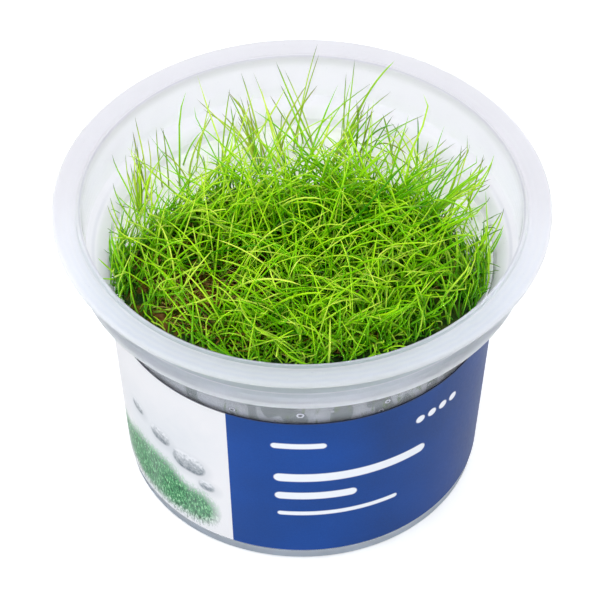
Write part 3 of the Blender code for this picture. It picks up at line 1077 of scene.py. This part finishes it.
# %% The mat's height
mat_thickness = 5.0 * mm
mat_edge_thickness = 3.4 * mm
mat_thinning = 2.4 * mm
mat_set_back = 19.0 * mm
mat_roughness = 0.7 * mm
mat_rings, mat_columns = 60, 200


def mat_edge(angle):
    """How far out the mat reaches in a direction: nearly the whole bed, but less towards the back."""
    waves = 0.7 * mm * np.sin(5 * angle + 1.0) * np.sin(11 * angle) + 0.6 * mm * np.sin(3 * angle + 4.0)
    back = toward_back(angle)
    return plug_edge(angle) - 0.3 * mm - mat_set_back * back + waves * (0.1 + back)


def mat_height(places):
    """Height of the ground: gel outside the mat, and in it a flat dome with waves of two sizes."""
    angle = angle_of(places)
    share = distance_of(places) / mat_edge(angle)
    edge_thickness = mat_edge_thickness - mat_thinning * toward_back(angle)
    dome = edge_thickness + (mat_thickness - edge_thickness) * (1 - np.clip(share, 0, 1) ** 8)
    waves = ground_waves(places, 3, 5.5 * mm) + 0.5 * ground_waves(places, 4, 1.9 * mm)
    inside = np.clip((1 - share) * 8 + 0.3, 0, 1)
    return np.where(share < 1, turf_foot + dome + mat_roughness * waves * inside, turf_foot)


def mat_mesh():
    """Rings of points: up the side from the foot, then in over the top to the middle.

    The foot and the ring above it stay inside the gel's edge, and only the rest bulges over the ledge.
    """
    angle = np.linspace(0, math.tau, mat_columns, endpoint=False)
    share = np.concatenate([[0.985, 0.999], np.linspace(0.999, 0.02, mat_rings)])
    raised = np.concatenate([[0.0, 0.35], np.ones(mat_rings)])
    radius = share[:, None] * mat_edge(angle)
    radius[:2] = np.minimum(radius[:2], turf_radius - 0.1 * mm)
    points = on_rings(radius, angle, 0.0)
    points[..., 2] = turf_foot + (mat_height(points) - turf_foot) * raised[:, None]
    poles = np.zeros((2, 3))
    poles[:, 2] = turf_foot, mat_height(poles)[1]
    points = np.concatenate([points.reshape(-1, 3), poles])
    return mesh_of("root_mat", points, *ringed_faces(len(share), mat_columns))


def felted_roots():
    """Moss and rust by the distance from the bare patch, each in blotches, with a fibrous bump."""
    material, place = new_material("felted_roots")
    from_patch = node("Mapping", Vector=place, Location=(18 * mm, 16 * mm, 0.0)).outputs[0]
    bare = course(from_axis(from_patch), 9 * mm, 21 * mm, 1.0, 0.12)
    blotch = mottled(place, 0.55, Detail=6.0, Contrast=2.4)
    mossy = ramp(blotch, (0.20, (0.004, 0.022, 0.001)), (0.55, (0.012, 0.055, 0.002)),
                 (0.9, (0.045, 0.100, 0.006)))
    rusty = ramp(blotch, (0.25, (0.010, 0.035, 0.002)), (0.45, (0.040, 0.075, 0.005)),
                 (0.60, (0.110, 0.042, 0.006)), (0.9, (0.24, 0.12, 0.03)))
    fibres = mottled(place, 3.5, Detail=6.0)
    return finished(material, Base_Color=mixed(bare, mossy, rusty),
                    Roughness=mottled(place, 1.0, Lowest=0.45, Highest=0.85),
                    Normal=bumpy(fibres, 0.9, 0.3 * mm), Specular_IOR_Level=0.15)


put("root_mat", mat_mesh(), felted_roots(), tuft_names)

# %% [markdown]
# ## Kinds of leaves
# A few leaves come from each crown. Some stand up with a slight lean, many arch over and lie across
# their neighbours, and some lean straight out. Along the rim of the bed they stand like a comb, because
# the wall held them up. Short young leaves fill the ground, and dead ones lie in it. Each kind is one
# call with its own ranges.

# %% Grow leaves
degree = math.radians(1)
turned_share, turned_chance = 0.72, 0.45
thin_back, thin_patch = 0.78, 0.28
shade_height = 5 * mm
strong_green = ((0.2, 1.0), (0.0, 0.1), 0.7)
light_green = ((0.4, 1.0), (0.0, 0.1), 0.7)
young_green = ((0.0, 0.8), (0.0, 0.3), 0.2)


def between(low, high, count):
    """Random values spread evenly between two limits."""
    return chance.uniform(low, high, count)


def leaves_along(places, lines, thickness, sides, colors, room_above=0.8 * mm, narrowing=0.10,
                 shaded=0.86):
    """Gives lines of leaves their tubes and growth values, and finds the tuft that each belongs to.

    Most leaves are fine and a few are bold: the thickness is low + (high - low) * chance ** 2, in mm.
    colors gives the ranges of tint and age, and the share of leaves with a dry tip. In the thin part at
    the back the leaves are finer and more olive, and most of their tips are dry. The leaves are greenest
    a little right of the middle. The light that reaches a point is less near the ground under full
    growth, and less on the side that is turned down.
    """
    count = len(places)
    back = toward_far(places)
    lines = kept_inside(lines, room_above, narrowing)
    lines[..., 2] = np.minimum(lines[..., 2], tallest_tip - 0.3 * mm)
    low, high = np.array(thickness) * mm
    thick = (low + (high - low) * chance.random(count) ** 2) * (1 - 0.12 * back)
    points, along, turned_up = leaf_tubes(lines, thick, sides)
    tint, age, dry = colors
    x, y = places.T
    yellower = 0.22 * ground_waves(places, 9, 15 * mm)
    yellower -= 0.32 * np.exp(-((x - 9 * mm) / (11 * mm)) ** 2 - ((y + 2 * mm) / (9 * mm)) ** 2)
    tint = between(*tint, count) + yellower + 0.12 * back - 0.02 * x / turf_radius
    old = between(*age, count) + back * between(0.30, 0.46, count) * (age[1] < 0.3)
    dried = chance.random(count) < dry * (0.2 + 0.8 * back)
    growth = np.stack(np.broadcast_arrays(tint[:, None], along, old[:, None], dried[:, None]), -1)
    above = np.maximum(points[..., 2] - mat_height(points), 0)
    open_light = 1 - shaded * share_of_growth(points) * np.exp(-(above / shade_height) ** 2)
    open_light *= np.clip(0.8 + 0.3 * turned_up, 0, 1)
    nearest = np.linalg.norm(places[:, None] - tuft_middles, axis=2).argmin(1)
    return {"points": points, "growth": growth, "open_light": open_light, "tuft": nearest,
            "faces": ringed_faces(lines.shape[1] - 1, sides)}


def grow(stand, length, tilt_start, tilt_end, thickness, steps, sides, colors, depth=0.3, bend=1.4,
         edge_calm=0.6, drift=0.5, shaded=0.86, thinned=1.0):
    """Leaves of one kind from their places and headings. Ranges are (low, high), in mm and degrees.

    Towards the rim of the bed, many leaves that head outwards turn back in, and the tilts of the others
    shrink by up to edge_calm. Most of the leaves that would end over the thin part at the back are left
    out, and so are some of those over the bare patch, unless thinned is 0, as for the litter.
    """
    places, heading = stand
    count = len(places)
    outwards = angle_of(places)
    share = distance_of(places) / plug_edge(outwards)
    facing_out = np.cos(heading - outwards)
    calm = 1 - edge_calm * rising(share, 0.55, 0.45) * np.clip(facing_out + 0.3, 0, 1)
    calm *= 1 + 0.45 * rising(-places[:, 1], 8 * mm, 18 * mm)
    turns_in = (share > turned_share) & (facing_out > 0) & (chance.random(count) < turned_chance)
    heading = heading + math.pi * turns_in
    root = np.concatenate([places, (mat_height(places) - depth * mm)[:, None]], 1)
    lengths = between(*np.array(length) * mm, count) * share_of_height(places)
    tilts = [between(*np.array(tilt) * degree, count) * calm for tilt in (tilt_start, tilt_end)]
    lines = leaf_lines(root, lengths, *tilts, heading, chance.normal(0, drift, count), steps, bend)
    left_out = thin_back * toward_far(lines[:, -1])
    left_out += thin_patch * bare_patch(lines[:, steps // 2]) * thinned
    kept = chance.random(count) > left_out
    return leaves_along(places[kept], lines[kept], thickness, sides, colors, shaded=shaded)


def scattered(count, front_limit, back_limit):
    """Random places and headings on the bed between two lines across it. count is for the whole bed."""
    angle = between(0, math.tau, count)
    radius = (plug_edge(angle) - 0.8 * mm) * np.sqrt(chance.random(count))
    places = on_rings(radius, angle, 0.0)[:, :2]
    kept = (places[:, 1] > front_limit * mm) & (places[:, 1] < back_limit * mm)
    return places[kept], between(0, math.tau, count)[kept]


def growing(count, front_limit, back_limit):
    """Like scattered, but fewer in the bare patch at the front left."""
    places, heading = scattered(count, front_limit, back_limit)
    kept = chance.random(len(places)) > 0.65 * bare_patch(places)
    return places[kept], heading[kept]


def littered(count):
    """Like scattered, but mostly in that bare patch, and never out on the ledge."""
    places, heading = scattered(count, -40, 10)
    kept = chance.random(len(places)) < 0.10 + 0.90 * bare_patch(places)
    kept &= distance_of(places) < turf_radius - 3 * mm
    return places[kept], heading[kept]


def around(numbers, bunch, spread, fan):
    """Places and headings of leaves in bunches: crowns by number, each leaf moved and turned a little."""
    numbers = np.repeat(numbers, bunch)
    places = crowns[numbers] + chance.normal(0, spread * mm, (len(numbers), 2))
    heading = crown_headings[numbers] + chance.normal(0, fan, len(numbers))
    inside = distance_of(places) < plug_edge(angle_of(places)) - 0.6 * mm
    return places[inside], heading[inside]


def along_rim(count):
    """Places and headings in a band along the rim of the bed: fewer where growth is thin and in front."""
    angle = between(0, math.tau, count)
    radius = plug_edge(angle) - between(0.2 * mm, 1.8 * mm, count)
    places = on_rings(radius, angle, 0.0)[:, :2]
    wanted = share_of_growth(places) * np.clip(2.0 + 3.2 * np.sin(angle), 0.08, 1)
    kept = chance.random(count) < wanted
    heading = angle + math.pi + chance.normal(0, 1.0, count)
    return places[kept], heading[kept]


every = np.arange(len(crowns))
kinds = {
    # places, length, first and last tilt, thickness, steps, sides, and tint, age and share of dry tips
    "upright": grow(around(every, 3, 0.8, 1.2), (7, 15), (2, 28), (10, 70), (0.30, 0.52), 8, 6,
                    strong_green),
    "arching": grow(around(every[::2], 3, 0.8, 1.2), (13, 26), (8, 40), (45, 95), (0.32, 0.56), 10, 6,
                    light_green),
    "leaning": grow(around(every, 3, 0.8, 1.6), (13, 27), (30, 70), (32, 76), (0.30, 0.56), 6, 6,
                    ((0.2, 1.0), (0.0, 0.12), 0.7), edge_calm=0.8, drift=0.12),
    "folded": grow(around(every[::5], 1, 0.7, 1.0), (13, 22), (8, 40), (85, 130), (0.36, 0.56), 12, 6,
                   light_green, bend=5.0),
    "rim": grow(along_rim(860), (7, 17), (0, 18), (5, 55), (0.26, 0.44), 8, 6,
                ((0.0, 0.8), (0.0, 0.3), 0.6)),
    "young": grow(growing(2500, -40, 12), (3, 9), (5, 60), (30, 100), (0.22, 0.38), 6, 5,
                  young_green, bend=1.0, drift=1.0, shaded=0.6),
    "front": grow(growing(3000, -40, -22), (4, 11), (10, 70), (40, 105), (0.26, 0.44), 8, 5,
                  ((0.2, 1.0), (0.0, 0.2), 0.2), bend=1.0, drift=1.0, shaded=0.25),
    "litter": grow(littered(8000), (2.5, 9), (55, 88), (70, 110), (0.16, 0.50), 5, 5,
                   ((0.0, 1.0), (0.6, 1.0), 0.0), bend=1.0, drift=1.2, depth=-0.8, shaded=0.1, thinned=0.0),
}
print({name: len(kind["tuft"]) for name, kind in kinds.items()})

# %% [markdown]
# ## The leaves that stand out
# Against the pale wall the eye picks out single leaves: the tall ones at the back, the ones that lean
# out over the ledge at the sides. These are placed one by one, root and tip, in millimetres. Shorter
# companions rise beside each. Fine, dry ones hang out over the ledge at either side.

# %% Place the leaves that stand out
standing_leaves = np.array([
    # root x, root y, tip x, tip y, tip z
    (-1.0, 30.2, 3.0, 30.7, 76.4), (8.1, 27.9, 10.2, 28.9, 74.1), (-0.8, 24.5, 13.7, 27.5, 69.3),
    (7.5, 27.9, 17.4, 30.9, 63.8), (11.4, 23.6, 16.1, 25.6, 62.2), (17.7, 25.0, 23.2, 29.0, 54.5),
    (20.0, 21.6, 28.7, 25.6, 56.5), (19.1, 14.8, 29.9, 19.8, 60.7), (26.8, 12.3, 30.7, 15.3, 64.2),
    (31.8, 11.4, 35.3, 14.4, 62.6), (27.7, 4.8, 37.9, 12.8, 64.0), (-7.9, 27.3, -11.8, 27.8, 71.6),
    (-15.7, 24.5, -13.9, 26.5, 68.7), (-9.9, 29.1, -14.4, 29.1, 65.3), (-10.2, 27.3, -20.5, 28.3, 64.2),
    (-20.8, 23.3, -17.7, 25.3, 67.2), (2.0, 30.8, -3.4, 30.8, 69.6), (0.2, 31.4, -4.3, 31.4, 65.3),
    (-4.1, 29.4, 3.1, 30.4, 66.0), (-30.5, 14.8, -32.4, 19.8, 67.5), (-27.3, 18.8, -28.2, 20.8, 63.7),
    (-23.8, 19.3, -27.3, 20.3, 64.1), (-32.1, 8.6, -38.3, 14.6, 63.1), (-31.4, 10.9, -34.1, 14.9, 62.1),
    (-18.7, 19.3, -21.3, 20.3, 59.9), (-3.3, 25.6, -7.0, 26.6, 64.2), (-30.6, 15.2, -29.8, 18.9, 62.8),
    (-4.3, 27.9, -3.9, 27.9, 60.9), (10.4, 27.9, 10.9, 28.9, 62.5), (11.8, 22.7, 13.0, 24.7, 66.4),
    (-33.4, -11.7, -38.6, -10.7, 59.2), (-34.0, 3.7, -37.8, 6.7, 56.5), (34.6, -0.2, 39.8, 3.8, 58.6),
    (34.4, -3.5, 39.3, 0.5, 57.2), (31.0, -15.6, 35.2, -17.6, 59.1),
]) * mm
leaning_bunches = np.array([
    (17.5, 13.5, 27.5, 17.5, 59.0), (24.5, 7.0, 36.0, 12.0, 62.0), (-31.0, 12.5, -32.0, 17.0, 63.0),
    (-9.0, 24.0, -12.0, 26.0, 67.0), (6.0, 22.0, 12.5, 25.0, 67.0),
]) * mm
at_left, at_right = 12, 16
at_sides = at_left + at_right


def leaves_to_tips(root, tip, lag, bow, steps):
    """Lines from roots to tips: the height rises evenly, the lean comes late, and a bow goes sideways.

    At share t a leaf has leant t ** lag of its way, and stands bow * sin(pi t) to the left of its lean.
    """
    t = np.linspace(0, 1, steps)
    lean = tip[:, :2] - root[:, :2]
    left = np.stack([-lean[:, 1], lean[:, 0]], 1) / np.maximum(distance_of(lean), 1e-6)[:, None]
    flat = root[:, None, :2] + lean[:, None] * (t ** lag[:, None])[..., None]
    flat += left[:, None] * (bow[:, None] * np.sin(math.pi * t))[..., None]
    return np.concatenate([flat, (root[:, 2:] + (tip - root)[:, 2:] * t)[..., None]], -1)


def with_company(rows, companions, root_stray, tip_stray):
    """Repeats rows of root and tip. The first of each is as given, the others stray and are shorter."""
    roots, tips = np.split(np.repeat(rows, companions, 0), [2], 1)
    leader = np.arange(len(roots)) % companions == 0
    stray = ~leader[:, None]
    roots = roots + stray * chance.normal(0, root_stray * mm, roots.shape)
    tips = tips + stray * chance.normal(0, tip_stray * mm, tips.shape)
    share = np.where(leader, 1.0, between(0.6, 0.95, len(tips)))
    tips[:, 2] = turf_foot + (tips[:, 2] - turf_foot) * share
    return roots, tips


side_angle = np.concatenate([between(150, 205, at_left), between(-28, 25, at_right)]) * degree
side_roots = on_rings(turf_radius - 0.5 * mm, side_angle, turf_foot + between(1.0 * mm, 9.0 * mm, at_sides))
side_lines = leaf_lines(side_roots, between(2.5 * mm, 5.5 * mm, at_sides),
                        between(30, 90, at_sides) * degree, between(50, 120, at_sides) * degree,
                        side_angle + chance.normal(0, 0.5, at_sides), chance.normal(0, 0.8, at_sides), 8)
kinds["side"] = leaves_along(side_roots[:, :2], side_lines, (0.17, 0.28), 5,
                             ((0.0, 0.2), (0.45, 0.52), 1.0), room_above=5.5 * mm, narrowing=0.0, shaded=0.0)
singles = with_company(standing_leaves, 2, 0.9, 1.6)
bunches = with_company(leaning_bunches, 9, 0.7, 1.1)
roots, tips = (np.concatenate(both) for both in zip(singles, bunches))
roots = np.concatenate([roots, (mat_height(roots) - 0.3 * mm)[:, None]], 1)
standing_lines = leaves_to_tips(roots, tips, between(1.0, 1.9, len(roots)),
                                chance.normal(0, 0.5 * mm, len(roots)), 10)
kinds["standing"] = leaves_along(roots[:, :2], standing_lines, (0.36, 0.52), 6, ((0.3, 0.9), (0.0, 0.1), 1.0),
                                 room_above=4.7 * mm, narrowing=0.0, shaded=0.5)
print(len(roots), "leaves that stand out, and", at_sides, "fine ones at the sides")

# %% [markdown]
# ## The leaf's finish
# Four values travel with each point of a leaf, in one attribute: how yellow it is, how far along the
# leaf it lies, how old the leaf is, and if its tip has dried. The material turns them into colour.
# A second attribute holds the light that reaches the point, and darkens the leaf deep in the turf.
# A wet, waxy skin gives a thin highlight, and a little subsurface light keeps the needles glowing.

# %% The leaf material
def leaf_skin():
    """Green by tint, pale at the base, dry at the tip, brown when old, and darker in the shade."""
    material, place = new_material("leaf_skin")
    growth = carried(place, "growth")
    tint, along, age = node("SeparateColor", Color=growth["Color"]).outputs
    patch = mottled(place, 0.5, Detail=3.0, Lowest=-0.16, Highest=0.16)
    varied = calc("ADD", tint, patch, clamp=True)
    fresh = ramp(varied, (0.0, (0.055, 0.320, 0.001)), (0.35, (0.240, 0.650, 0.002)),
                 (0.7, (0.525, 0.910, 0.010)), (1.0, (0.790, 1.000, 0.110)))
    pale_base = times(calc("SUBTRACT", 0.22, along, clamp=True), 2.0)
    fresh = mixed(pale_base, fresh, (0.20, 0.20, 0.05))
    tip = times(calc("SUBTRACT", along, 0.76, clamp=True), 5.0)
    tip = calc("MULTIPLY", tip, growth["Alpha"], clamp=True)
    fresh = mixed(tip, fresh, (0.110, 0.160, 0.050))
    old = ramp(tint, (0.0, (0.035, 0.022, 0.008)), (0.5, (0.23, 0.075, 0.010)),
               (1.0, (0.60, 0.43, 0.13)))
    past = calc("MULTIPLY", calc("SUBTRACT", age, 0.4, clamp=True), 4.0, clamp=True)
    shade = mixed(carried(place, "open_light")["Fac"], (0.03, 0.32, 0.015), (1.0, 1.0, 1.0))
    color = mixed(1.0, mixed(past, fresh, old), shade, "MULTIPLY")
    return finished(material, Base_Color=color, Specular_IOR_Level=0.36, Specular_Tint=(0.80, 1.0, 0.35),
                    Roughness=mottled(place, 1.5, Lowest=0.22, Highest=0.42),
                    Subsurface_Weight=0.3, Subsurface_Radius=(0.6, 1.0, 0.2), Subsurface_Scale=0.4 * mm)


# %% Join the leaves of each tuft
def tuft_mesh(name, tuft):
    """Takes one tuft's leaves out of every kind and joins them in a mesh with its two attributes."""
    points, quads, triangles, growth, light = [], [], [], [], []
    first = 0
    for kind in kinds.values():
        chosen = kind["tuft"] == tuft
        mine = kind["points"][chosen]
        copies, each, _ = mine.shape
        points.append(mine.reshape(-1, 3))
        growth.append(kind["growth"][chosen].reshape(-1, 4))
        light.append(kind["open_light"][chosen].ravel())
        quads.append(first + repeated(kind["faces"][0], copies, each))
        triangles.append(first + repeated(kind["faces"][1], copies, each))
        first += copies * each
    mesh = mesh_of(name, *map(np.concatenate, (points, quads, triangles)))
    carry(mesh, "growth", np.concatenate(growth))
    carry(mesh, "open_light", np.concatenate(light))
    return mesh


leaf_finish = leaf_skin()
for tuft, name in enumerate(tuft_names):
    put(f"{name}_leaves", tuft_mesh(f"{name}_leaves", tuft), leaf_finish, [name])

# %% [markdown]
# ## The floor
# The cup stands on a plain pale table. It is a large flat square a hair under the base, and it belongs
# to the stage and not to the object. It is a little brighter to the camera than to the cup, so that it
# stays white in the picture and doesn't light the cup too much from below.

# %% Lay the floor
floor_half = 2.0
floor_depth = 0.02 * mm
floor_points = np.array([(-1, -1, 0), (1, -1, 0), (1, 1, 0), (-1, 1, 0)]) * floor_half - (0, 0, floor_depth)
floor_mesh = mesh_of("floor", floor_points, [[0, 1, 2, 3]], [])
floor_finish, floor_place = new_material("table_top")
floor_tone = mottled(floor_place, 0.01, Lowest=0.93, Highest=0.95)
seen_floor = node("LightPath", floor_place.id_data).outputs["Is Camera Ray"]
bounced = calc("MULTIPLY_ADD", seen_floor, 0.4, 0.6)
finished(floor_finish, Base_Color=times(floor_tone, bounced), Roughness=0.9,
         Specular_IOR_Level=0.1, Emission_Strength=1.0,
         Emission_Color=calc("MULTIPLY_ADD", seen_floor, 0.12, 0.30))
floor_mesh.materials.append(floor_finish)
floor = into_scene("floor", floor_mesh)
